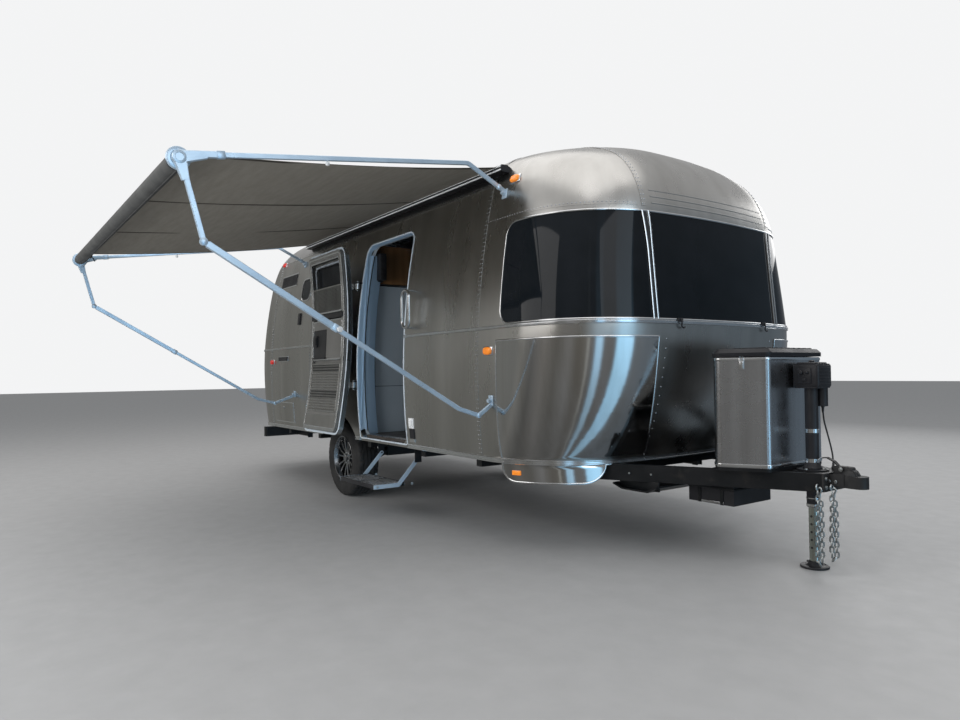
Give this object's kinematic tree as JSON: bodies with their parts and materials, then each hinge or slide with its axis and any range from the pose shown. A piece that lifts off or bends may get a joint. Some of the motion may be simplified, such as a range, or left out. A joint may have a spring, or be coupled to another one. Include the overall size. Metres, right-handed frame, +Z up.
{
  "type": "travel caravan",
  "caption": "Travel caravan on a single axle with a riveted rounded aluminium shell, wraparound front glass, A-frame with gas cover and jack, open side door, step and awning.",
  "frame": {"origin": "on the ground under the middle of the nose jack's foot", "axes": "+X forwards towards the coupler, +Y to the caravan's left, +Z up"},
  "size_m": [6.96, 4.5167, 2.975],
  "materials": {
    "shell": "satin, rolled sheet",
    "bright_trim": "bright anodised",
    "stainless": "polished sheet",
    "tinted_glass": "dark tint",
    "chassis_paint": "semi-gloss black",
    "jack_steel": "plated",
    "bumper": "satin",
    "tyre": "matte",
    "wheel_alloy": "machined, dark pockets",
    "cover_sheet": "brushed",
    "black_plastic": "fine grain",
    "bottle_paint": "gloss",
    "cable_rubber": "matte",
    "arch_liner": "matte",
    "floor_board": "dark vinyl face",
    "cabinet_board": "brown veneer",
    "locker_panel": "satin grey-blue",
    "awning_fabric": "woven acrylic",
    "roller_fabric": "satin",
    "white_plastic": "semi-gloss",
    "amber_lens": "clear-coated",
    "red_lens": "clear-coated"
  },
  "bodies": {
    "body": {"air_conditioner": "white_plastic", "amber_lamps": "amber_lens", "awning_arms": "bright_trim", "awning_cloth": "awning_fabric", "awning_rail": "black_plastic", "awning_roller": "roller_fabric", "axle": "chassis_paint", "battery_box": "black_plastic", "belt_trim": "bright_trim", "cabinets": "cabinet_board", "chassis_rails": "chassis_paint", "coupler": "chassis_paint", "cross_members": "chassis_paint", "door_frame": "bright_trim", "drawbar": "chassis_paint", "floor_pan": "floor_board", "front_cap": "shell", "front_windows": "tinted_glass", "gas_bottles": "bottle_paint", "gas_cover": "cover_sheet", "grab_handle": "stainless", "hinge_ears": "black_plastic", "jack_cable": "cable_rubber", "left_wall": "shell", "nose_jack": "chassis_paint", "rear_bumper": "bumper", "rear_cap": "shell", "rear_window": "tinted_glass", "red_lamps": "red_lens", "right_wall": "shell", "roof": "shell", "roof_locker": "locker_panel", "rub_rail": "bright_trim", "side_windows": "tinted_glass", "stone_guards": "stainless", "underfloor_hangers": "chassis_paint", "vent_frame": "white_plastic", "wheel_arches": "arch_liner"},
    "right_wheel": {"right_wheel": "wheel_alloy", "right_tyre": "tyre"},
    "left_wheel": {"left_wheel": "wheel_alloy", "left_tyre": "tyre"},
    "door": {"entry_door": "shell", "entry_door_window": "tinted_glass", "screen_door": "black_plastic"},
    "jack": {"jack_leg": "jack_steel"},
    "gas_lid": {"gas_cover_lid": "black_plastic"},
    "vent_lid": {"vent_lid": "white_plastic"},
    "hatch": {"access_hatch": "shell"},
    "step": {"entry_step": "bright_trim"},
    "rear_right_leg": {"rear_right_stabiliser": "chassis_paint"},
    "rear_left_leg": {"rear_left_stabiliser": "chassis_paint"},
    "front_right_leg": {"front_right_stabiliser": "chassis_paint"},
    "front_left_leg": {"front_left_stabiliser": "chassis_paint"}
  },
  "joints": [
    {"name": "right_wheel_turn", "type": "hinge", "parent": "body", "child": "right_wheel", "pos_m": [-3.951, -1.0475, 0.356], "axis": [0, 1, 0], "continuous": true},
    {"name": "left_wheel_turn", "type": "hinge", "parent": "body", "child": "left_wheel", "pos_m": [-3.951, 1.0475, 0.356], "axis": [0, 1, 0], "continuous": true},
    {"name": "door_swing", "type": "hinge", "parent": "body", "child": "door", "pos_m": [-3.489, -1.2504, 1.05], "axis": [0, 0.0511, 0.9987], "range_deg": [0, 180]},
    {"name": "jack_travel", "type": "slide", "parent": "body", "child": "jack", "axis": [0, 0, 1], "range_m": [-0.06, 0.3]},
    {"name": "gas_lid_lift", "type": "hinge", "parent": "body", "child": "gas_lid", "pos_m": [-0.427, 0, 1.234], "axis": [0, -1, 0], "range_deg": [0, 75]},
    {"name": "vent_lid_lift", "type": "hinge", "parent": "body", "child": "vent_lid", "pos_m": [-5.379, 0, 2.81], "axis": [0, -1, 0], "range_deg": [0, 70]},
    {"name": "hatch_lift", "type": "hinge", "parent": "body", "child": "hatch", "pos_m": [-5.28, 1.23376, 1.106], "axis": [1, 0, 0], "range_deg": [0, 100]},
    {"name": "step_fold", "type": "hinge", "parent": "body", "child": "step", "pos_m": [-2.985, -1.08, 0.46], "axis": [1, 0, 0], "range_deg": [0, 125]},
    {"name": "rear_right_leg_drop", "type": "hinge", "parent": "body", "child": "rear_right_leg", "pos_m": [-6.3, -0.69, 0.418], "axis": [0, 1, 0], "range_deg": [0, 80]},
    {"name": "rear_left_leg_drop", "type": "hinge", "parent": "body", "child": "rear_left_leg", "pos_m": [-6.3, 0.69, 0.418], "axis": [0, 1, 0], "range_deg": [0, 80]},
    {"name": "front_right_leg_drop", "type": "hinge", "parent": "body", "child": "front_right_leg", "pos_m": [-1.33, -0.69, 0.418], "axis": [0, -1, 0], "range_deg": [0, 80]},
    {"name": "front_left_leg_drop", "type": "hinge", "parent": "body", "child": "front_left_leg", "pos_m": [-1.33, 0.69, 0.418], "axis": [0, -1, 0], "range_deg": [0, 80]}
  ]
}
